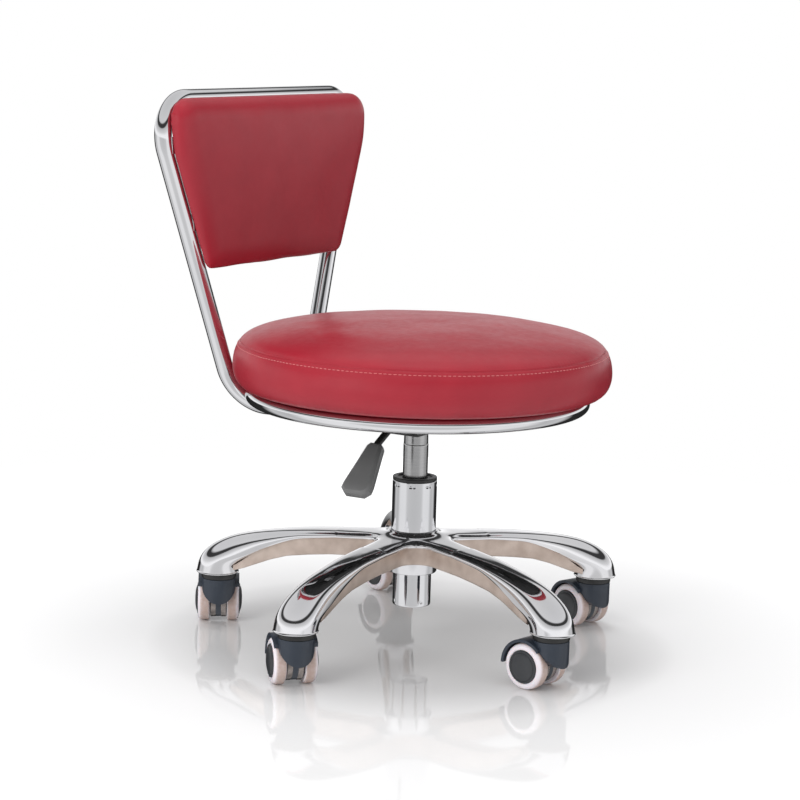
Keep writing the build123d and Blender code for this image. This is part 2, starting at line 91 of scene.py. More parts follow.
class Shader:
    """A principled material with short helpers for the nodes that feed it."""

    def __init__(self, name, **sockets):
        self.material = bpy.data.materials.new(name)
        self.material.use_nodes = True
        self.nodes = self.material.node_tree.nodes
        self.links = self.material.node_tree.links
        self.principled = self.nodes["Principled BSDF"]
        for socket, value in sockets.items():
            self.principled.inputs[socket.replace("_", " ")].default_value = value

    def node(self, kind, inputs=(), **settings):
        made = self.nodes.new(kind)
        for key, value in settings.items():
            setattr(made, key, value)
        for key, value in dict(inputs).items():
            if isinstance(value, bpy.types.NodeSocket):
                self.links.new(value, made.inputs[key])
            else:
                made.inputs[key].default_value = value
        return made

    def position(self):
        return self.node("ShaderNodeTexCoord").outputs["Object"]

    def noise(self, scale, detail=3.0, roughness=0.5, vector=None):
        texture = self.node(
            "ShaderNodeTexNoise",
            {"Vector": vector or self.position(), "Scale": scale, "Detail": detail, "Roughness": roughness},
        )
        return texture.outputs["Fac"]

    def ramp(self, factor, stops):
        made = self.node("ShaderNodeValToRGB", {"Fac": factor})
        elements = made.color_ramp.elements
        while len(elements) < len(stops):
            elements.new(0.5)
        for element, (place, colour) in zip(elements, stops):
            element.position = place
            element.color = (*colour, 1)
        return made.outputs["Color"]

    def math(self, operation, a, b=0.0, c=0.0):
        return self.node("ShaderNodeMath", {0: a, 1: b, 2: c}, operation=operation).outputs[0]

    def feed(self, socket, value):
        self.links.new(value, self.principled.inputs[socket])

    def bump(self, height, strength, distance):
        made = self.node("ShaderNodeBump", {"Height": height, "Strength": strength, "Distance": distance})
        self.feed("Normal", made.outputs["Normal"])


def grey(value):
    return (value, value, value)


def chrome():
    shader = Shader("chrome", Metallic=1.0)
    tint = [(0.3, (0.70, 0.705, 0.72)), (0.7, (0.77, 0.77, 0.78))]
    shader.feed("Base Color", shader.ramp(shader.noise(9), tint))
    shader.feed("Roughness", shader.ramp(shader.noise(160, 5), [(0.35, grey(0.035)), (0.75, grey(0.085))]))
    shader.bump(shader.noise(60, 2), 0.02, 0.4 * MM)
    return shader.material


def polished_cast():
    """Buffed aluminium: bright, with the faint waviness and haze that buffing leaves."""
    shader = Shader("polished_cast", Metallic=1.0)
    tint = [(0.3, (0.72, 0.72, 0.74)), (0.7, (0.80, 0.795, 0.80))]
    shader.feed("Base Color", shader.ramp(shader.noise(14), tint))
    shader.feed("Roughness", shader.ramp(shader.noise(70, 6), [(0.35, grey(0.03)), (0.8, grey(0.10))]))
    shader.bump(shader.noise(26, 2), 0.10, 1.6 * MM)
    return shader.material


def raw_cast():
    """The unpolished sides and underside of the casting, pebbled, in a warm grey whose pink-beige tint is
    partly the metal's own tone and partly a painted reflection of warm surroundings.
    """
    shader = Shader("raw_cast", Metallic=0.6)
    # Pink-beige tint: partly the metal's own tone, partly a painted reflection of warm surroundings.
    tint = [(0.3, (0.50, 0.40, 0.34)), (0.7, (0.68, 0.57, 0.50))]
    shader.feed("Base Color", shader.ramp(shader.noise(60, 5), tint))
    shader.feed("Roughness", shader.ramp(shader.noise(240, 4), [(0.3, grey(0.34)), (0.8, grey(0.52))]))
    shader.bump(shader.noise(600, 4), 0.5, 0.35 * MM)
    return shader.material


def satin_steel():
    """Ground steel tube: fine rings round the tube from centreless grinding."""
    shader = Shader("satin_steel", Metallic=1.0)
    stretch = shader.node("ShaderNodeMapping", {"Vector": shader.position(), "Scale": (40, 40, 1500)})
    rings = shader.noise(1.0, 3, 0.6, stretch.outputs["Vector"])
    shader.feed("Base Color", shader.ramp(rings, [(0.3, grey(0.40)), (0.7, grey(0.46))]))
    shader.feed("Roughness", shader.ramp(rings, [(0.3, grey(0.20)), (0.7, grey(0.25))]))
    shader.bump(rings, 0.03, 0.03 * MM)
    return shader.material


def zinc_steel():
    shader = Shader("zinc_steel", Metallic=1.0)
    tint = [(0.3, grey(0.42)), (0.7, (0.56, 0.57, 0.60))]
    shader.feed("Base Color", shader.ramp(shader.noise(300, 4), tint))
    shader.feed("Roughness", shader.ramp(shader.noise(500, 3), [(0.3, grey(0.28)), (0.7, grey(0.42))]))
    return shader.material


def drum_steel():
    """Blackened steel with a worn, oily gloss."""
    shader = Shader("drum_steel", Metallic=0.85)
    tint = [(0.3, (0.16, 0.14, 0.13)), (0.7, (0.34, 0.30, 0.28))]
    shader.feed("Base Color", shader.ramp(shader.noise(90, 4), tint))
    shader.feed("Roughness", shader.ramp(shader.noise(200, 3), [(0.3, grey(0.16)), (0.7, grey(0.32))]))
    return shader.material


def moulded(name, dark, light, rough, depth=0.12):
    """Moulded plastic or powder coat with a fine texture."""
    shader = Shader(name)
    shader.feed("Base Color", shader.ramp(shader.noise(40, 4), [(0.3, dark), (0.7, light)]))
    gloss = [(0.3, grey(rough - 0.05)), (0.7, grey(rough + 0.06))]
    shader.feed("Roughness", shader.ramp(shader.noise(220, 3), gloss))
    shader.bump(shader.noise(1400, 3), depth, 0.12 * MM)
    return shader.material


def vinyl():
    """Upholstery vinyl: deep red, satin, with a very fine leather grain and faint mottling."""
    shader = Shader("red_vinyl", Specular_IOR_Level=0.42)
    mottling = shader.noise(22, 5, 0.6)
    tint = [(0.25, (0.315, 0.013, 0.026)), (0.75, (0.365, 0.017, 0.031))]
    shader.feed("Base Color", shader.ramp(mottling, tint))
    shader.feed("Roughness", shader.ramp(shader.noise(120, 4), [(0.3, grey(0.33)), (0.7, grey(0.40))]))
    cells = shader.node(
        "ShaderNodeTexVoronoi",
        {"Vector": shader.position(), "Scale": 950, "Randomness": 1.0},
        feature="DISTANCE_TO_EDGE",
    )
    grain = shader.math("MINIMUM", cells.outputs["Distance"], 0.25)
    pores = shader.noise(2400, 2)
    height = shader.math("MULTIPLY_ADD", grain, 2.2, pores)
    shader.bump(height, 0.16, 0.10 * MM)
    return shader.material


def thread():
    shader = Shader("stitch_thread", Roughness=0.6, Sheen_Weight=0.3)
    tint = [(0.3, (0.50, 0.10, 0.11)), (0.7, (0.68, 0.20, 0.20))]
    shader.feed("Base Color", shader.ramp(shader.noise(900, 3), tint))
    return shader.material


def tread():
    """Pale polyurethane wheel: near white on its flank, pink beige where it rolls."""
    shader = Shader("tread", Subsurface_Weight=0.12, Subsurface_Radius=(0.004, 0.002, 0.0015))
    parts = shader.node("ShaderNodeSeparateXYZ", {"Vector": shader.position()})
    x2 = shader.math("MULTIPLY", parts.outputs["X"], parts.outputs["X"])
    radius = shader.math("SQRT", shader.math("MULTIPLY_ADD", parts.outputs["Y"], parts.outputs["Y"], x2))
    grime = shader.math("MULTIPLY_ADD", shader.noise(300, 5), 0.9 * MM, radius)
    mask = shader.node(
        "ShaderNodeMapRange", {"Value": grime, "From Min": 24.3 * MM, "From Max": 25.5 * MM}
    ).outputs["Result"]
    shader.feed("Base Color", shader.ramp(mask, [(0.0, (0.84, 0.78, 0.82)), (1.0, (0.54, 0.41, 0.36))]))
    shader.feed("Roughness", shader.ramp(mask, [(0.0, grey(0.30)), (1.0, grey(0.5))]))
    shader.bump(shader.noise(900, 3), 0.06, 0.1 * MM)
    return shader.material


# ---------------------------------------------------------------- mesh helpers


def mesh_object(name, vertices, faces, materials, face_material=None):
    """A smooth-shaded object in the scene. face_material holds a material number for each face."""
    mesh = bpy.data.meshes.new(name)
    mesh.from_pydata([tuple(v) for v in vertices], [], faces)
    for material in materials if isinstance(materials, (list, tuple)) else [materials]:
        mesh.materials.append(material)
    if face_material:
        mesh.polygons.foreach_set("material_index", face_material)
    mesh.validate()
    mesh.shade_smooth()
    made = bpy.data.objects.new(name, mesh)
    bpy.context.scene.collection.objects.link(made)
    return made


def finish_piece(piece, body, slot, *replaced):
    """Puts a piece on the body it rides on and hides the CAD nodes it stands for; slot is not used."""
    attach(piece, body)
    if replaced:
        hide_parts(*replaced)
    return piece


def grid_faces(rows, columns, wrap_columns=True, wrap_rows=False):
    """Quads between rows x columns of vertices stored row by row."""
    faces = []
    last_row = rows if wrap_rows else rows - 1
    last_column = columns if wrap_columns else columns - 1
    for r in range(last_row):
        for c in range(last_column):
            a = r * columns + c
            b = r * columns + (c + 1) % columns
            over = ((r + 1) % rows) * columns
            faces.append((a, b, over + (c + 1) % columns, over + c))
    return faces


def merged(piece, distance=1e-6):
    """Joins vertices that lie on each other, such as those on a lathe's axis."""
    modifier = piece.modifiers.new("weld", "WELD")
    modifier.merge_threshold = distance
    return piece


def rounded(points, radius, steps=5):
    """A polyline with each inner corner turned into an arc. radius is one number or one per corner."""
    points = [Vector(p) for p in points]
    radii = [radius] * (len(points) - 2) if isinstance(radius, (int, float)) else list(radius)
    made = [points[0]]
    for before, corner, after, r in zip(points, points[1:], points[2:], radii):
        inward, outward = (before - corner).normalized(), (after - corner).normalized()
        half = inward.angle(outward) / 2
        if r <= 0 or half > math.radians(89):
            made.append(corner)
            continue
        back = min(r / math.tan(half), 0.49 * (before - corner).length, 0.49 * (after - corner).length)
        r = back * math.tan(half)
        centre = corner + (inward + outward).normalized() * (r / math.sin(half))
        start, end = corner + inward * back - centre, corner + outward * back - centre
        turn = start.angle(end)
        for i in range(steps + 1):
            share = i / steps
            made.append(
                centre
                + (start * math.sin((1 - share) * turn) + end * math.sin(share * turn)) / math.sin(turn)
            )
    made.append(points[-1])
    return made


def catmull_rom(a, b, c, d, t):
    """The curve between b and c, for numbers or vectors."""
    return 0.5 * (2 * b + (c - a) * t + (2 * a - 5 * b + 4 * c - d) * t**2 + (3 * b - a - 3 * c + d) * t**3)


def spline_through(points, steps):
    """Catmull-Rom curve through points, steps samples to each span."""
    points = [Vector(p) for p in points]
    ends = [2 * points[0] - points[1], *points, 2 * points[-1] - points[-2]]
    made = []
    for a, b, c, d in zip(ends, ends[1:], ends[2:], ends[3:]):
        made.extend(catmull_rom(a, b, c, d, i / steps) for i in range(steps))
    made.append(points[-1])
    return made


def lathe(name, profile, material, segments=96):
    """Turns (radius, height) points in metres about the piece's own Z."""
    vertices = []
    for point in profile:
        for i in range(segments):
            angle = 2 * math.pi * i / segments
            vertices.append((point[0] * math.cos(angle), point[0] * math.sin(angle), point[1]))
    faces = [f[::-1] for f in grid_faces(len(profile), segments)]
    return merged(mesh_object(name, vertices, faces, material))


def transported_frames(path):
    """A side vector for each point of a path, turned as little as possible along it."""
    tangents = []
    for i in range(len(path)):
        tangents.append((path[min(i + 1, len(path) - 1)] - path[max(i - 1, 0)]).normalized())
    side = tangents[0].orthogonal().normalized()
    frames = []
    for tangent in tangents:
        side = (side - tangent * side.dot(tangent)).normalized()
        frames.append((side.copy(), tangent.cross(side)))
    return frames


def swept_tube(name, path, radius, material, segments):
    """A round tube along a path, with flat ends."""
    vertices = []
    for point, (side, other) in zip(path, transported_frames(path)):
        for j in range(segments):
            angle = 2 * math.pi * j / segments
            vertices.append(point + (side * math.cos(angle) + other * math.sin(angle)) * radius)
    faces = grid_faces(len(path), segments)
    faces.append(tuple(range(segments))[::-1])
    faces.append(tuple(range((len(path) - 1) * segments, len(path) * segments)))
    return mesh_object(name, vertices, faces, material)


def dress_cad(name, material, bevel=0.0):
    """Gives a CAD node its material, smooth shading and, where asked, softened edges."""
    node = NODES[name]
    node.data.materials.clear()
    node.data.materials.append(material)
    weld = node.modifiers.new("weld", "WELD")
    weld.merge_threshold = 1e-5
    node.data.shade_smooth()
    if bevel:
        made = node.modifiers.new("bevel", "BEVEL")
        made.width = bevel
        made.segments = 3
        made.limit_method = "ANGLE"
        made.angle_limit = math.radians(35)
        made.harden_normals = True
    else:
        node.data.set_sharp_from_angle(angle=math.radians(30))


# ---------------------------------------------------------------- base casting

ARM_COUNT = 5
STEM = Vector(JOINTS["caster_1_swivel"]["pos_m"])
STEM_CIRCLE = STEM.xy.length
FIRST_ARM = math.atan2(STEM.y, STEM.x)
WEB_CORNER = Vector((52.3, 38.0)) * MM
WEB_FILLET = 18 * MM
WEB_INNER = WEB_CORNER.length - WEB_FILLET
HALF_WEDGE = math.pi / ARM_COUNT
WEB_THICKNESS = 6.4 * MM
WEB_END = 86 * MM
ARM_TAPER = 0.024
RIB_TAPER = 0.012
RIB_THICKNESS = 4.5 * MM
RIB_END = 207 * MM
POLISHED_END_ROWS = 62

# The collar round the column and the hollow curve down from it, as (radius, height) in mm.
HUB_CROWN = [
    (25.3, 128.6), (25.5, 130.2), (26.2, 131.0), (27.2, 131.0), (28.0, 130.5), (28.8, 129.3),
    (30.2, 128.1), (32.5, 127.2), (35.5, 126.6), (39.0, 126.1), (43.0, 125.8), (46.6, 125.6),
]

# Stations along one arm, in mm: the crown and the underside as (out, up), how far up between
# them the widest line lies, the half width, and how square the top is. The section tips over
# until it is the flat round foot of the caster boss.
ARM_STATIONS = [
    (86.0, 123.9, 86.0, 117.5, 0.00, 19.2, 3.0),
    (110.0, 122.4, 110.0, 114.8, 0.00, 18.6, 3.0),
    (133.0, 120.4, 133.0, 111.6, 0.00, 18.2, 2.95),
    (160.0, 117.0, 156.0, 103.4, 0.02, 18.4, 2.85),
    (188.0, 112.3, 175.0, 94.0, 0.07, 19.4, 2.7),
    (212.0, 106.0, 190.0, 84.0, 0.16, 21.0, 2.5),
    (231.0, 97.4, 200.0, 75.8, 0.30, 22.3, 2.25),
    (244.0, 87.6, 204.8, 70.0, 0.41, 23.0, 2.1),
    (251.5, 76.6, 206.6, 65.5, 0.47, 23.4, 2.0),
    (254.4, 63.6, 206.8, 63.6, 0.50, 23.6, 2.0),
]
ROWS_PER_STATION = 11
ARM_COLUMNS = 49


def smoothed(rows, passes):
    """Evens out a list of value rows, keeping its ends."""
    for _ in range(passes):
        inner = [
            [(a + 2 * b + c) / 4 for a, b, c in zip(before, here, after)]
            for before, here, after in zip(rows, rows[1:], rows[2:])
        ]
        rows = [rows[0], *inner, rows[-1]]
    return rows


def arm_rows():
    """ARM_STATIONS sampled finely and evened out."""
    ends = [
        [2 * a - b for a, b in zip(ARM_STATIONS[0], ARM_STATIONS[1])],
        *ARM_STATIONS,
        [2 * a - b for a, b in zip(ARM_STATIONS[-1], ARM_STATIONS[-2])],
    ]
    rows = []
    for p, q, r, s in zip(ends, ends[1:], ends[2:], ends[3:]):
        for i in range(ROWS_PER_STATION):
            share = i / ROWS_PER_STATION
            rows.append([catmull_rom(a, b, c, d, share) for a, b, c, d in zip(p, q, r, s)])
    rows.append(list(ARM_STATIONS[-1]))
    return smoothed(rows, 14)


def across_shares():
    """Places across an arm from -1 to 1, closest together at the edges."""
    return [-math.cos(math.pi * i / (ARM_COLUMNS - 1)) for i in range(ARM_COLUMNS)]


def crown_height(radius):
    """Height of the web's top at a distance from the column's axis."""
    points = [(r * MM, z * MM) for r, z in HUB_CROWN] + [(WEB_END, 123.9 * MM)]
    for (r0, z0), (r1, z1) in zip(points, points[1:]):
        if radius <= r1:
            return z0 + (z1 - z0) * max(0.0, radius - r0) / (r1 - r0)
    return points[-1][1]


def web_point(x, y):
    """A point of the webbed middle of the base: its height on top and underneath."""
    y_side = abs(y)
    if x < WEB_CORNER.x:
        inward = (Vector((x, y_side)) - WEB_CORNER).length - WEB_FILLET
    else:
        inward = WEB_CORNER.y - WEB_FILLET - (x - WEB_CORNER.x) * ARM_TAPER - y_side
    blend = min(1.0, max(0.0, (x - 38 * MM) / (40 * MM)))
    width = (11 + 8.2 * blend * blend * (3 - 2 * blend)) * MM
    share = min(1.0, max(0.0, inward / width))
    drop = 1 - (1 - (1 - share) ** 2.7) ** (1 / 2.7)
    crown = crown_height(math.hypot(x, y))
    under = min(crown, crown_height(max(math.hypot(x, y), WEB_INNER))) - WEB_THICKNESS
    return Vector((x, y, crown + (under - crown) * drop)), Vector((x, y, under))


def web_rows():
    """Rows of (top, underside) points from the hub's collar out to where the arm is straight."""
    rows = []
    for radius, _ in HUB_CROWN[:-1]:
        angles = [HALF_WEDGE * t for t in across_shares()]
        rows.append([web_point(radius * MM * math.cos(a), radius * MM * math.sin(a)) for a in angles])
    arc_turn = math.pi / 2 - math.atan2(WEB_CORNER.y, WEB_CORNER.x)
    arc_length = WEB_FILLET * arc_turn
    straight = WEB_END - WEB_CORNER.x
    steps = 34
    for i in range(steps + 1):
        share = i / steps
        middle = WEB_INNER + (WEB_END - WEB_INNER) * share
        run = share * (arc_length + straight)
        if run < arc_length:
            angle = math.pi + math.atan2(WEB_CORNER.y, WEB_CORNER.x) + run / WEB_FILLET
            edge = WEB_CORNER + Vector((math.cos(angle), math.sin(angle))) * WEB_FILLET
        else:
            x = WEB_CORNER.x + run - arc_length
            edge = Vector((x, WEB_CORNER.y - WEB_FILLET - (x - WEB_CORNER.x) * ARM_TAPER))
        rows.append(
            [web_point(middle - (middle - edge.x) * t * t, edge.y * t) for t in across_shares()]
        )
    return rows


def arm_section(values):
    """One row of (top, underside) points of the free arm."""
    crown, under = Vector(values[0:2]) * MM, Vector(values[2:4]) * MM
    below, half, square = values[4], values[5] * MM, values[6]
    middle = under.lerp(crown, below)
    row = []
    for t in across_shares():
        lift = max(0.0, 1 - abs(t) ** square) ** (1 / square)
        top = middle.lerp(crown, lift)
        bottom = middle.lerp(under, math.sqrt(max(0.0, 1 - t * t)))
        row.append((Vector((top.x, half * t, top.y)), Vector((bottom.x, half * t, bottom.y))))
    return row


def boss_foot_rows(last):
    """Closes the boss: a small rolled lip and a flat foot with the stem in its middle."""
    rows = []
    centre = Vector((STEM_CIRCLE + 1.6 * MM, 0))
    for scale, height in ((1.02, 63.0), (1.026, 62.5), (1.01, 62.05), (0.94, 62.0), (0.5, 62.0), (0.2, 62.0)):
        row = []
        for pair in last:
            moved = []
            for p in pair:
                flat = centre + (p.xy - centre) * scale
                moved.append(Vector((flat.x, flat.y, height * MM)))
            row.append(tuple(moved))
        rows.append(row)
    return rows


def rib_path():
    """Plan of the rib's outer face round one valley: along one arm, round the web and out again."""
    radius = WEB_FILLET + RIB_THICKNESS
    points = []
    for i in range(70):
        x = RIB_END + (WEB_CORNER.x - RIB_END) * i / 70
        wider = max(0.0, (x - 150 * MM) / (54 * MM))
        points.append(Vector((x, 15.5 * MM - (x - WEB_CORNER.x) * RIB_TAPER + 2.2 * MM * wider**1.6)))
    turn = math.pi / 2 - math.atan2(WEB_CORNER.y, WEB_CORNER.x)
    for i in range(17):
        angle = -math.pi / 2 - turn * i / 16
        points.append(WEB_CORNER + Vector((math.cos(angle), math.sin(angle))) * radius)
    fold = Vector((math.cos(HALF_WEDGE), math.sin(HALF_WEDGE)))
    mirrored = [2 * p.dot(fold) * fold - p for p in reversed(points[:-1])]
    return points + mirrored


def between(table, x):
    """Linear reading of a table of (x, y) pairs."""
    for (x0, y0), (x1, y1) in zip(table, table[1:]):
        if x <= x1:
            return y0 + (y1 - y0) * max(0.0, x - x0) / (x1 - x0)
    return table[-1][1]


# Heights of the ribs' top and bottom edges by distance from the column, in mm, and one rib's
# section from its outer face round its lower edge to its inner face, as (depth in mm, share up).
RIB_TOP = [
    (42, 120.3), (75, 118.5), (133, 112.6), (156, 105), (175, 95.5), (190, 86), (200, 78.5), (207, 74),
]
RIB_BOTTOM = [
    (42, 98.5), (95, 96), (120, 93.4), (145, 89.8), (165, 83.6), (180, 77.6), (195, 71.6), (207, 68),
]
RIB_FACE = [
    (0, 1.0), (0.1, 0.55), (0.35, 0.12), (1.1, 0.02), (2.4, 0.0), (4.0, 0.02), (4.8, 0.12),
    (5.0, 0.5), (5.0, 1.0),
]


def rib_mesh():
    """The rib round one valley of the base, as vertices and faces."""
    path = rib_path()
    valley = Vector((math.cos(HALF_WEDGE), math.sin(HALF_WEDGE))) * 0.2
    vertices = []
    for i, point in enumerate(path):
        along = (path[min(i + 1, len(path) - 1)] - path[max(i - 1, 0)]).normalized()
        inward = Vector((along.y, -along.x))
        if inward.dot(point - valley) < 0:
            inward = -inward
        reach = point.length / MM
        top, bottom = between(RIB_TOP, reach), between(RIB_BOTTOM, reach)
        for depth, share in RIB_FACE:
            flat = point + inward * depth * MM
            vertices.append(Vector((flat.x, flat.y, (bottom + (top - bottom) * share) * MM)))
    return vertices, grid_faces(len(path), len(RIB_FACE), wrap_columns=False)


# The hub's barrel under the web: its bore, the flange at its foot and the cone up into the web, in mm.
BARREL = [
    (25.2, 121), (25.2, 83.7), (25.6, 83.0), (26.7, 83.0), (27.3, 83.8), (27.3, 96.6), (28.4, 98.8),
    (31.0, 100.4), (36.0, 102.0), (39.0, 104.0), (40.2, 108.0), (40.6, 120.2),
]


def make_star(polished, raw):
    """The whole casting: five arms with their ribs, and the hub's barrel."""
    vertices, faces, slots = [], [], []

    def add(points, new_faces, slot):
        base = len(vertices)
        vertices.extend(points)
        faces.extend(tuple(base + i for i in face) for face in new_faces)
        slots.extend(slot)

    free_arm = [arm_section(values) for values in arm_rows()]
    rows = web_rows()[:-1] + free_arm
    rows += boss_foot_rows(rows[-1])
    raw_until = len(rows) - POLISHED_END_ROWS
    rib_points, rib_faces = rib_mesh()
    for arm in range(ARM_COUNT):
        turn = Matrix.Rotation(FIRST_ARM + 2 * HALF_WEDGE * arm, 3, "Z")
        sheet = grid_faces(len(rows), ARM_COLUMNS, wrap_columns=False)
        add([turn @ pair[0] for row in rows for pair in row], [f[::-1] for f in sheet], [0] * len(sheet))
        under_slots = [1 if i // (ARM_COLUMNS - 1) < raw_until else 0 for i in range(len(sheet))]
        add([turn @ pair[1] for row in rows for pair in row], sheet, under_slots)
        add([turn @ p for p in rib_points], rib_faces, [1] * len(rib_faces))
    segments = 120
    ring = []
    for r, z in BARREL:
        for i in range(segments):
            angle = 2 * math.pi * i / segments
            ring.append(Vector((r * MM * math.cos(angle), r * MM * math.sin(angle), z * MM)))
    barrel_faces = grid_faces(len(BARREL), segments)
    add(ring, barrel_faces, [0] * len(barrel_faces))
    star = mesh_object("star_base_casting", vertices, faces, [polished, raw], slots)
    merged(star, 2e-5)
    return finish_piece(star, "base", "cast_aluminium", "star_base")


# ---------------------------------------------------------------- gas lift


def dimpled(piece, places, width, height, depth):
    """Presses small oval marks into a turned piece. places holds (angle, height) pairs."""
    for vertex in piece.data.vertices:
        co = vertex.co
        radius = math.hypot(co.x, co.y)
        if radius < 1e-4:
            continue
        for angle, z in places:
            if abs(co.z - z) > height:
                continue
            turn = (math.atan2(co.y, co.x) - angle + math.pi) % (2 * math.pi) - math.pi
            inside = 1 - (turn * radius / width) ** 2 - ((co.z - z) / height) ** 2
            if inside > 0:
                push = 1 - depth * math.sqrt(inside) / radius
                co.x *= push
                co.y *= push


def stepped(points, longest):
    """A (radius, height) outline in metres from mm points, cut so that no step is longer."""
    made = [Vector(points[0]) * MM]
    for a, b in zip(points, points[1:]):
        a, b = Vector(a) * MM, Vector(b) * MM
        count = max(1, math.ceil((b - a).length / longest))
        made.extend(a.lerp(b, (i + 1) / count) for i in range(count))
    return made


def make_gas_lift(mats):
    """Column with its pressed marks, the bush in its mouth, and the inner tube."""
    outside = [
        (5.2, 48.7), (14, 48.7), (18.6, 48.5), (19.5, 47.9), (19.6, 45.4), (19.9, 44.7), (20.5, 44.5),
        (21.1, 44.8), (21.5, 45.7), (21.5, 90), (25.0, 131), (25.0, 186.9), (24.85, 187.4), (24.5, 187.7),
        (23.2, 187.7), (23.0, 186), (23.0, 176),
    ]
    column = lathe("column_outer_tube", stepped(outside, 0.7 * MM), mats["chrome"], 300)
    marks = []
    for k in range(8):
        middle = math.radians(24 + 45 * k)
        marks += [(middle - 0.085, 182.6 * MM), (middle + 0.085, 182.6 * MM)]
    dimpled(column, marks, 1.9 * MM, 1.2 * MM, 1.7 * MM)
    low_marks = [(math.radians(a), 50.0 * MM) for a in (-120, -30, 60, 150)]
    dimpled(column, low_marks, 1.7 * MM, 1.7 * MM, 0.8 * MM)
    finish_piece(column, "base", "chrome", "column_tube")

    bush_outline = [
        (23.0, 180), (23.0, 187.8), (24.6, 187.85), (24.85, 188.1), (24.85, 191.0), (24.6, 191.3),
        (24.2, 191.4),
        (19.9, 191.4), (19.6, 191.2), (19.5, 190.4), (19.2, 190.2), (15.6, 190.2), (14.8, 190.0),
        (14.3, 189.4),
        (14.06, 188.6), (14.06, 180),
    ]
    bush = lathe("column_guide_bush", stepped(bush_outline, 1.0 * MM), mats["black_plastic"], 160)
    finish_piece(bush, "base", "black_plastic", "guide_bush")

    cylinder_outline = [
        (5.2, 88), (13.4, 88), (13.9, 88.4), (14.0, 89), (14.0, 228.1), (13.75, 228.5), (13.55, 228.8),
        (13.7, 229.2), (13.1, 268.4), (12.7, 269), (3.2, 269),
    ]
    cylinder = lathe("gas_spring_cylinder", stepped(cylinder_outline, 2.0 * MM), mats["satin_steel"], 160)
    finish_piece(cylinder, "seat", "satin_steel", "gas_cylinder")


# ---------------------------------------------------------------- casters

# Half sections of a wheel as (radius, distance out from the caster's middle), in mm.
TYRE = [
    (17.8, 11.0), (18.4, 10.5), (19.0, 10.3), (23.4, 10.3), (24.3, 10.7), (24.85, 11.5), (25.0, 12.4),
    (25.0, 17.2), (24.95, 18.8), (24.6, 20.3), (23.9, 21.7), (22.9, 22.8), (21.6, 23.45), (20.3, 23.6),
    (19.2, 23.55), (18.5, 23.3), (18.0, 22.7), (17.9, 21.0), (17.8, 17.0),
]
HUB = [
    (3.1, 10.4), (6.8, 10.4), (7.6, 11.0), (8.6, 12.3), (17.4, 12.3), (17.7, 12.8), (17.75, 23.7),
    (17.5, 24.3),
    (17.0, 24.6), (16.3, 24.65), (15.8, 24.5), (15.55, 24.1), (15.2, 24.1), (14.95, 24.6), (14.5, 25.1),
    (13.0, 25.75), (10.5, 26.4), (7.0, 26.85), (3.5, 27.05), (0.0, 27.1),
]


def axle_place(middle, outward):
    """Puts a turned piece at an axle's middle, with its own Z pointing outward and its Y up."""
    up = Vector((0, 0, 1))
    basis = Matrix((up.cross(outward), up, outward)).transposed()
    return Matrix.Translation(middle) @ basis.to_4x4()


def make_wheels(index, mats):
    """Both wheels of one caster, each turned about its own Z, which points outward."""
    name = f"caster_{index}"
    centres = {}
    for side in ("left", "right"):
        low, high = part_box(f"{name}_{side}_tyre")
        centres[side] = (low + high) / 2
    middle = (centres["left"] + centres["right"]) / 2
    for side in ("left", "right"):
        place = axle_place(middle, (centres[side] - middle).normalized())
        for part, outline, material, slot in (
            ("tyre", spline_through([(r * MM, z * MM, 0) for r, z in TYRE], 3), mats["tread"], "tread"),
            ("hub", stepped(HUB, 0.6 * MM), mats["hub_plastic"], "hub_plastic"),
        ):
            piece = lathe(f"{name}_{side}_{part}_turned", outline, material, 128)
            piece.matrix_world = place
            finish_piece(piece, f"{name}_{side}_wheel", slot, f"{name}_{side}_{part}")


def make_drum(index, mats):
    """The steel drum round the axle between the two wheels."""
    name = f"caster_{index}"
    low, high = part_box(f"{name}_axle")
    left, right = (sum(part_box(f"{name}_{side}_tyre"), Vector()) / 2 for side in ("left", "right"))
    outline = [
        (3.2, -9.7), (15, -9.7), (19.6, -9.6), (20.9, -9.2), (21.3, -8.4), (21.3, -3.4),
        (20.9, -3.0), (20.9, 3.0),
        (21.3, 3.4), (21.3, 8.4), (20.9, 9.2), (19.6, 9.6), (15, 9.7), (3.2, 9.7),
    ]
    drum = lathe(f"{name}_axle_drum", stepped(outline, 1.0 * MM), mats["drum_steel"], 96)
    drum.matrix_world = axle_place((low + high) / 2, (left - right).normalized())
    finish_piece(drum, name, "steel")


# ---------------------------------------------------------------- seat and frame tubes

RING_RADIUS = 184 * MM
RING_TUBE = 8 * MM
RING_HEIGHT = 281 * MM
FRAME_TUBE = 9.5 * MM

# The back frame's plane leans back by LEAN and its legs spread by SPREAD, both for each unit of height.
FRAME_LEAN = 0.071
FRAME_SPREAD = 0.383
FRAME_HALF_WIDTH = 81.5 * MM
FRAME_Y = 196.7 * MM
FRAME_TOP = 605.3 * MM
FRAME_FOOT = 264 * MM
FOOT_FRONT_Y = 95 * MM


def make_seat_ring(mats):
    """The ring's tube is very slightly uneven from bending."""
    segments, around = 360, 40
    vertices = []
    for i in range(segments):
        turn = 2 * math.pi * i / segments
        uneven = noise.noise(Vector((math.cos(turn) * 3, math.sin(turn) * 3, 0))) * 0.15 * MM
        for j in range(around):
            angle = 2 * math.pi * j / around
            out = RING_RADIUS + uneven + RING_TUBE * math.cos(angle)
            up = RING_HEIGHT + RING_TUBE * math.sin(angle)
            vertices.append((out * math.cos(turn), out * math.sin(turn), up))
    faces = [f[::-1] for f in grid_faces(segments, around, wrap_rows=True)]
    ring = mesh_object("seat_ring_tube", vertices, faces, mats["chrome"])
    finish_piece(ring, "seat", "chrome", "seat_ring")


def back_point(across, up, front):
    """A point in the backrest's own plane, in metres, to the chair's frame."""
    slope = math.hypot(1, FRAME_LEAN)
    up_axis = Vector((0, FRAME_LEAN / slope, 1 / slope))
    front_axis = Vector((0, -1 / slope, FRAME_LEAN / slope))
    return Vector((0, FRAME_Y, RING_HEIGHT)) + Vector((across, 0, 0)) + up_axis * up + front_axis * front


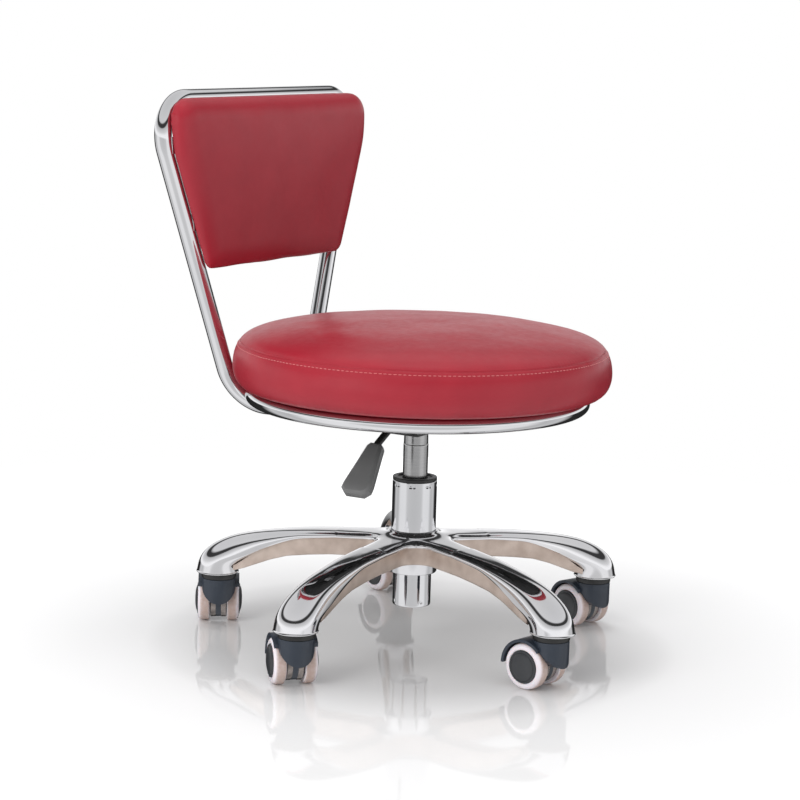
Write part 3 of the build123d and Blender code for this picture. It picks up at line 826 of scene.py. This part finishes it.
def make_back_frame(mats):
    """One tube: up the left side, over the top and down, with both feet turned forward."""
    rise = FRAME_TOP - RING_HEIGHT
    corner = back_point(FRAME_HALF_WIDTH + FRAME_SPREAD * rise, rise * math.hypot(1, FRAME_LEAN), 0)
    drop = RING_HEIGHT - FRAME_FOOT
    foot_half = FRAME_HALF_WIDTH - FRAME_SPREAD * drop
    foot_y = FRAME_Y - FRAME_LEAN * drop
    right = [Vector((foot_half, FOOT_FRONT_Y, FRAME_FOOT)), Vector((foot_half, foot_y, FRAME_FOOT)), corner]
    left = [Vector((-p.x, p.y, p.z)) for p in reversed(right)]
    path = rounded(right + left, [46 * MM, 42 * MM, 42 * MM, 46 * MM], steps=24)
    dense = [path[0]]
    for a, b in zip(path, path[1:]):
        count = max(1, math.ceil((b - a).length / (6 * MM)))
        dense.extend(a.lerp(b, (i + 1) / count) for i in range(count))
    frame_tube = swept_tube("back_frame_tube", dense, FRAME_TUBE, mats["chrome"], 48)
    finish_piece(frame_tube, "seat", "chrome", "back_frame")


def make_lever(mats):
    """The bent bar from the bracket out to the grip."""
    points = [(x * MM, 0, z * MM) for x, z in ((2, 277), (-12, 277), (-84, 240), (-102, 220.4))]
    path = rounded(points, 14 * MM, steps=10)
    bar = swept_tube("lever_bar", path, 4 * MM, mats["black_paint"], 24)
    finish_piece(bar, "lever", "black_paint", "lever_rod")


# ---------------------------------------------------------------- seat cushion

SEAT_CENTRE = Vector((0, -5 * MM, 0))
SEAM_HEIGHT = 341.0
STITCH_COUNT = 252
STITCH_RADIUS = 205.5
STITCH_HEIGHT = 338.0

# Outline of the cover from under the seat, up the side band and over the top panel, in mm.
BAND = [
    (150, 289.5), (176, 289.5), (185, 289.9), (193, 290.8), (200, 293.6), (205.8, 298.8), (209.3, 306),
    (210.7, 314), (210.4, 322), (208.9, 330), (206.6, 336), (204.3, 339.9),
]
TOP_PANEL = [
    (201.9, 343), (199.2, 345.6), (195, 348.4), (188, 351.4), (176, 354.9), (158, 358.4), (134, 361.6),
    (104, 364.2), (70, 366), (35, 366.8), (0, 367),
]


def cushion_point(radius, height, turn):
    """A point of the cover, with the foam's unevenness, seam puckers and the gathers underneath."""
    direction = Vector((math.cos(turn), math.sin(turn), 0))
    at = Vector((direction.x * radius, direction.y * radius, height)) * MM
    swell = noise.fractal(at * 14 + Vector((3, 7, 1)), 0.8, 2.1, 2) * 1.1
    near_seam = math.exp(-(((height - SEAM_HEIGHT) / 7) ** 2)) * (1 if radius > 170 else 0)
    stitch_wave = 0.10 * math.cos(STITCH_COUNT * turn)
    lazy_wave = 0.35 * noise.noise(Vector((direction.x * 16, direction.y * 16, 5)))
    gather = 0.0
    if height < 303 and radius > 160:
        depth = math.exp(-(((height - 292) / 6) ** 2))
        folds = noise.noise(Vector((direction.x * 26, direction.y * 26, 9)))
        creases = noise.noise(Vector((direction.x * 60, direction.y * 60, 2)))
        gather = depth * (1.6 * folds * abs(folds) + 0.5 * creases)
    out = swell * 0.55 + near_seam * (stitch_wave + lazy_wave) + gather
    side_share = min(1.0, max(0.0, (radius - 150) / 50))
    lift = (1 - side_share) * swell * 0.8 if height > SEAM_HEIGHT else 0.0
    radius += out * side_share
    return SEAT_CENTRE + Vector((direction.x * radius, direction.y * radius, height + lift)) * MM


def make_seat_cushion(mats):
    """The cover in one turned form, and its stitching."""
    segments = STITCH_COUNT * 3
    seam = [(203.5, 340.9), (203.0, 341.05), (202.3, 341.2), (202.2, 342.0)]
    outline = spline_through([(r, z, 0) for r, z in BAND], 5)
    outline += [Vector((r, z, 0)) for r, z in seam]
    outline += spline_through([(r, z, 0) for r, z in TOP_PANEL], 6)
    vertices = []
    for point in outline:
        for i in range(segments):
            vertices.append(cushion_point(point.x, point.y, 2 * math.pi * i / segments))
    faces = [f[::-1] for f in grid_faces(len(outline), segments)]
    cover = merged(mesh_object("seat_cushion_cover", vertices, faces, mats["vinyl"]), 1e-5)
    finish_piece(cover, "seat", "red_vinyl", "seat_cushion")
    make_stitches(mats)


def capsule(start, end, radius, outward, sides=6):
    """A short rounded thread standing slightly proud of the cover."""
    along = (end - start).normalized()
    side = along.cross(outward).normalized()
    up = side.cross(along)
    vertices = []
    for share, scale in ((0.0, 0.35), (0.12, 0.85), (0.5, 1.08), (0.88, 0.85), (1.0, 0.35)):
        centre = start.lerp(end, share) + up * radius * (0.5 * math.sin(math.pi * share) - 0.35)
        for j in range(sides):
            angle = 2 * math.pi * j / sides
            vertices.append(centre + (side * math.cos(angle) + up * math.sin(angle)) * radius * scale)
    faces = grid_faces(5, sides)
    faces.append(tuple(range(sides))[::-1])
    faces.append(tuple(range(4 * sides, 5 * sides)))
    return vertices, faces


def make_stitches(mats):
    """Topstitching on the side band, a few millimetres under the seam."""
    vertices, faces = [], []
    for i in range(STITCH_COUNT):
        middle = 2 * math.pi * (i + 0.5) / STITCH_COUNT
        half = 2 * math.pi / STITCH_COUNT * 0.36
        jitter = RANDOM.uniform(-0.12, 0.12)
        start = cushion_point(STITCH_RADIUS, STITCH_HEIGHT + jitter, middle - half)
        end = cushion_point(STITCH_RADIUS, STITCH_HEIGHT - jitter, middle + half)
        outward = Vector((math.cos(middle), math.sin(middle), 0.45))
        points, loops = capsule(start, end, 0.42 * MM, outward)
        faces.extend(tuple(len(vertices) + k for k in loop) for loop in loops)
        vertices.extend(points)
    stitches = mesh_object("seat_cushion_stitching", vertices, faces, mats["thread"])
    finish_piece(stitches, "seat", "red_vinyl")


# ---------------------------------------------------------------- back pad

PAD_CORNERS = [(134.5, 137.5, 14), (186, 270, 120), (192, 325, 34)]
PAD_LOW, PAD_HIGH = 137.5 * MM, 325 * MM
PAD_REAR = 9.9 * MM
PAD_MIDDLE = 240 * MM
PAD_POINTS = 600
REAR_RINGS = 8
CROWN_RINGS = 26
PLEAT_PHASE = 1.1

# The pad's edge as (inset from the outline in mm, share of the way from its rear to its front).
PAD_SIDE = [
    (24, 0.0), (14, 0.0), (6, 0.0), (2.6, 0.02), (1.1, 0.06), (0.35, 0.13), (0.0, 0.24),
    (0.15, 0.36), (0.9, 0.49),
    (2.4, 0.62), (4.8, 0.74), (8.0, 0.84), (12.0, 0.92), (16.5, 0.97), (21.5, 1.0),
]


def pad_outline():
    """The pad's outline in the backrest's plane, as evenly spaced points."""
    right = [Vector((x, y, 0)) * MM for x, y, _ in PAD_CORNERS]
    left = [Vector((-p.x, p.y, 0)) for p in reversed(right)]
    radii = [c[2] * MM for c in PAD_CORNERS]
    start = Vector((0, PAD_LOW, 0))
    points = rounded([start, *right, *left, start], radii + radii[::-1], steps=16)[:-1]
    lengths = [0.0]
    for a, b in zip(points, points[1:] + points[:1]):
        lengths.append(lengths[-1] + (b - a).length)
    made, k = [], 0
    closed = points + points[:1]
    for i in range(PAD_POINTS):
        target = lengths[-1] * i / PAD_POINTS
        while lengths[k + 1] < target:
            k += 1
        share = (target - lengths[k]) / (lengths[k + 1] - lengths[k])
        made.append(closed[k].lerp(closed[k + 1], share))
    return made


def ring_evened(ring, passes):
    """Evens out a closed ring of points, so that an outline moved inward has no loops at its corners."""
    for _ in range(passes):
        ring = [(ring[i - 1] + 2 * ring[i] + ring[(i + 1) % len(ring)]) / 4 for i in range(len(ring))]
    return ring


def pad_point(point, share):
    """A point of the pad, from one in its plane and its share of the way from the rear to the front."""
    rise = (point.y - PAD_LOW) / (PAD_HIGH - PAD_LOW)
    eased = min(1.0, max(0.0, rise / 0.9))
    front = (21 + 10.5 * math.sin(math.pi / 2 * eased)) * MM
    across = point.x / ((134.5 + 58 * rise) * MM)
    crown = 4.5 * MM * max(0.0, 1 - across * across) * max(0.0, 1 - (2 * rise - 1) ** 2)
    swell = noise.fractal(Vector((point.x * 11, point.y * 11, share * 0.6)), 0.8, 2.1, 2) * 0.8 * MM
    depth = PAD_REAR + (front + swell + crown - PAD_REAR) * share
    return back_point(point.x, point.y, depth)


def pad_gather(index, point, share):
    """How far the cover is pulled in at its edge: fine puckers, corner pleats and a wavy lower edge."""
    gathers = math.exp(-(((share - 0.14) / 0.24) ** 2)) if 0 < share < 0.9 else 0.0
    fine = noise.noise(Vector((point.x * 60, point.y * 60, 4)))
    slow = noise.noise(Vector((point.x * 22, point.y * 22, 9)))
    corner = math.exp(-(((abs(point.x) - 0.182) ** 2 + (point.y - 0.300) ** 2) / 0.024**2))
    pleat = 1.0 - abs(math.sin(0.5 * PLEAT_PHASE * index + 2.0 * slow))
    pull = gathers * (0.5 * fine + 2.6 * corner * pleat) * MM
    if point.y < PAD_LOW + 20 * MM:
        pull += 1.3 * MM * slow * (1 - share) * (share > 0)
    return pull


def make_back_pad(mats):
    """The pad in rings: from the middle of its rear out, round the edge and in over its front."""
    outline = pad_outline()
    inward = []
    for i in range(PAD_POINTS):
        along = (outline[(i + 2) % PAD_POINTS] - outline[i - 2]).normalized()
        inward.append(Vector((-along.y, along.x, 0)))

    def inset_ring(inset):
        return [point + inward[i] * inset for i, point in enumerate(outline)]

    def toward_middle(point, share):
        return point.lerp(Vector((point.x * 0.3, PAD_MIDDLE, 0)), share)

    def evening_passes(inset):
        return int(1.6 * max(0, inset - 6))

    vertices = []
    rear_ring = inset_ring(PAD_SIDE[0][0] * MM)
    for k in range(REAR_RINGS, 0, -1):
        vertices += [pad_point(toward_middle(point, k / REAR_RINGS), 0.0) for point in rear_ring]
    for inset, share in PAD_SIDE:
        ring = []
        for i, point in enumerate(outline):
            ring.append(point + inward[i] * (inset * MM + pad_gather(i, point, share)))
        vertices += [pad_point(point, share) for point in ring_evened(ring, evening_passes(inset))]
    last_inset = PAD_SIDE[-1][0]
    front_ring = ring_evened(inset_ring(last_inset * MM), evening_passes(last_inset))
    for k in range(1, CROWN_RINGS + 1):
        vertices += [pad_point(toward_middle(point, k / CROWN_RINGS), 1.0) for point in front_ring]

    rows = REAR_RINGS + len(PAD_SIDE) + CROWN_RINGS
    faces = [f[::-1] for f in grid_faces(rows, PAD_POINTS)]
    cover = merged(mesh_object("back_pad_cover", vertices, faces, mats["vinyl"]), 5e-5)
    even_mesh = cover.modifiers.new("even_mesh", "REMESH")
    even_mesh.mode = "VOXEL"
    even_mesh.voxel_size = 2.2 * MM
    even_mesh.use_smooth_shade = True
    relax = cover.modifiers.new("relax", "SMOOTH")
    relax.factor = 0.5
    relax.iterations = 8
    finish_piece(cover, "seat", "red_vinyl", "back_pad")


# ---------------------------------------------------------------- studio


def area_light(name, location, target, size, power):
    """A soft box that lights the stool and doesn't show in its chrome."""
    data = bpy.data.lights.new(name, "AREA")
    data.shape = "RECTANGLE"
    data.size, data.size_y = size
    data.energy = power
    light = bpy.data.objects.new(name, data)
    light.location = location
    light.rotation_euler = (Vector(target) - Vector(location)).to_track_quat("-Z", "Y").to_euler()
    light.visible_glossy = False
    bpy.context.scene.collection.objects.link(light)


def make_studio():
    """White surround. What the chrome reflects has dark bands, and three soft boxes light the rest."""
    scene = bpy.context.scene
    scene.view_settings.view_transform = "Standard"
    world = bpy.data.worlds.new("studio")
    scene.world = world
    world.use_nodes = True
    nodes, links = world.node_tree.nodes, world.node_tree.links
    background = nodes["Background"]
    coordinates = nodes.new("ShaderNodeTexCoord")
    parts = nodes.new("ShaderNodeSeparateXYZ")
    links.new(coordinates.outputs["Generated"], parts.inputs[0])
    toward_far_wall = nodes.new("ShaderNodeVectorMath")
    toward_far_wall.operation = "DOT_PRODUCT"
    toward_far_wall.inputs[1].default_value = (0.862, 0.507, 0.0)
    links.new(coordinates.outputs["Generated"], toward_far_wall.inputs[0])

    def ramp(value, low, high, stops):
        spread = nodes.new("ShaderNodeMapRange")
        spread.inputs["From Min"].default_value = low
        spread.inputs["From Max"].default_value = high
        links.new(value, spread.inputs["Value"])
        made = nodes.new("ShaderNodeValToRGB")
        links.new(spread.outputs["Result"], made.inputs["Fac"])
        elements = made.color_ramp.elements
        while len(elements) < len(stops):
            elements.new(0.5)
        for element, (place, level) in zip(elements, stops):
            element.position = (place - low) / (high - low)
            element.color = (level, level, level * 1.01, 1)
        return made.outputs["Color"]

    around = ramp(
        toward_far_wall.outputs["Value"], -1, 1,
        [(-1, 0.66), (-0.80, 0.72), (-0.66, 0.97), (-0.20, 0.95), (0.05, 0.60), (0.38, 0.70), (0.50, 0.30),
         (0.56, 0.03), (0.95, 0.02), (1, 0.5)],
    )
    upward = ramp(
        parts.outputs["Z"], 0, 1,
        [(0, 1.2), (0.12, 1.1), (0.20, 0.82), (0.34, 0.60), (0.38, 0.05), (0.50, 0.05),
         (0.56, 0.78), (1, 0.70)],
    )
    height = ramp(parts.outputs["Z"], -1, 1, [(-1, 0.0), (0.0, 0.0), (0.05, 1.0), (1, 1.0)])
    both = nodes.new("ShaderNodeMix")
    both.data_type = "RGBA"
    links.new(height, both.inputs[0])
    links.new(around, both.inputs[6])
    links.new(upward, both.inputs[7])
    path = nodes.new("ShaderNodeLightPath")
    mix = nodes.new("ShaderNodeMix")
    mix.data_type = "RGBA"
    links.new(path.outputs["Is Camera Ray"], mix.inputs[0])
    links.new(both.outputs[2], mix.inputs[6])
    mix.inputs[7].default_value = (1, 1, 1, 1)
    links.new(mix.outputs[2], background.inputs["Color"])

    make_floor()
    area_light("top_box", (0.1, 0.05, 2.9), (0, 0, 0), (1.1, 1.1), 25)
    area_light("left_box", (-2.5, 0.5, 1.2), (0, 0, 0.35), (1.4, 1.6), 35)
    area_light("right_box", (-0.2, -2.6, 1.2), (0, 0, 0.3), (0.9, 1.6), 6)


def make_floor():
    """A glossy white floor with a painted shadow, its colour darker under the stool, and painted light, a
    glow that grows away from the stool until it fades into the white of the background.
    """
    shader = Shader("studio_floor", Roughness=0.05, IOR=1.5)
    parts = shader.node("ShaderNodeSeparateXYZ", {"Vector": shader.position()})
    x2 = shader.math("MULTIPLY", parts.outputs["X"], parts.outputs["X"])
    radius = shader.math("SQRT", shader.math("MULTIPLY_ADD", parts.outputs["Y"], parts.outputs["Y"], x2))
    # Painted light: the floor glows, more strongly the further it lies from the stool.
    away = shader.ramp(radius, [(0.28, grey(0.0)), (0.84, grey(1.0))])
    shader.feed("Emission Strength", away)
    # Painted shadow: the floor's colour is darkest under the middle of the stool and lightens outward.
    reach = [(0.0, grey(0.72)), (0.20, grey(0.80)), (0.30, grey(0.90)), (0.84, grey(0.0))]
    shader.feed("Base Color", shader.ramp(radius, reach))
    shader.principled.inputs["Emission Color"].default_value = (1, 1, 1, 1)
    disc_radius = 1.1
    turns = [math.pi * i / 60 for i in range(120)]
    rim = [(disc_radius * math.cos(turn), disc_radius * math.sin(turn), 0) for turn in turns]
    floor = mesh_object("studio_floor", rim, [tuple(range(120))], shader.material)
    floor.visible_glossy = False

    far = Shader("studio_far_floor", Roughness=1.0)
    far.principled.inputs["Base Color"].default_value = (0, 0, 0, 1)
    far.principled.inputs["Specular IOR Level"].default_value = 0.0
    far.principled.inputs["Emission Color"].default_value = (1, 1, 1, 1)
    far.principled.inputs["Emission Strength"].default_value = 1.0
    wide = [(9 * x, 9 * y, -0.002) for x, y in ((-1, -1), (1, -1), (1, 1), (-1, 1))]
    far_floor = mesh_object("studio_far_floor", wide, [(0, 1, 2, 3)], far.material)
    far_floor.visible_glossy = False
    far_floor.visible_diffuse = False


# ---------------------------------------------------------------- putting it together


def dress_carried_nodes(mats):
    """Materials for the CAD nodes that stay."""
    for i in range(1, ARM_COUNT + 1):
        dress_cad(f"caster_{i}_hood", mats["hood_plastic"], 0.7 * MM)
        dress_cad(f"caster_{i}_axle", mats["zinc_steel"])
    plain = {
        "caster_stems": "zinc_steel", "bearing_lower_race": "zinc_steel", "bearing_balls": "zinc_steel",
        "bearing_upper_race": "zinc_steel", "piston_rod": "zinc_steel", "piston": "zinc_steel",
        "rod_clip": "zinc_steel", "release_pin": "zinc_steel", "lever_pivot_pin": "zinc_steel",
        "seat_bolts": "zinc_steel", "t_nuts": "zinc_steel", "tab_screws": "zinc_steel",
        "rubber_buffer": "black_rubber", "cylinder_end_guide": "black_plastic",
    }
    for name, material in plain.items():
        dress_cad(name, mats[material])
    dress_cad("caster_collars", mats["black_plastic"], 0.4 * MM)
    dress_cad("socket_bracket", mats["black_paint"], 0.5 * MM)
    dress_cad("support_straps", mats["black_paint"], 0.6 * MM)
    dress_cad("back_tabs", mats["chrome"], 0.4 * MM)
    dress_cad("seat_board", mats["black_paint"], 0.6 * MM)
    dress_cad("back_board", mats["black_paint"], 0.6 * MM)
    # The paddle's grey is a painted reflection on black plastic.
    dress_cad("lever_paddle", mats["lever_plastic"], 0.9 * MM)


def main():
    mats = {
        "chrome": chrome(),
        "polished": polished_cast(),
        "raw": raw_cast(),
        "satin_steel": satin_steel(),
        "zinc_steel": zinc_steel(),
        "drum_steel": drum_steel(),
        "black_plastic": moulded("black_plastic", grey(0.010), grey(0.018), 0.38),
        # The paddle is black plastic; its mid grey colour is a painted reflection of the bright surround on
        # its face.
        "lever_plastic": moulded("lever_plastic", grey(0.135), grey(0.150), 0.34, depth=0.03),
        "black_paint": moulded("black_paint", grey(0.012), grey(0.022), 0.36),
        "hood_plastic": moulded("hood_plastic", (0.020, 0.028, 0.042), (0.028, 0.037, 0.053), 0.36),
        "hub_plastic": moulded("hub_plastic", (0.026, 0.028, 0.032), (0.038, 0.040, 0.044), 0.36),
        "black_rubber": moulded("black_rubber", grey(0.012), grey(0.022), 0.7),
        "tread": tread(),
        "vinyl": vinyl(),
        "thread": thread(),
    }
    make_camera()
    make_studio()
    make_star(mats["polished"], mats["raw"])
    make_gas_lift(mats)
    for i in range(1, ARM_COUNT + 1):
        make_wheels(i, mats)
        make_drum(i, mats)
    make_seat_ring(mats)
    make_back_frame(mats)
    make_lever(mats)
    make_seat_cushion(mats)
    make_back_pad(mats)
    dress_carried_nodes(mats)


main()
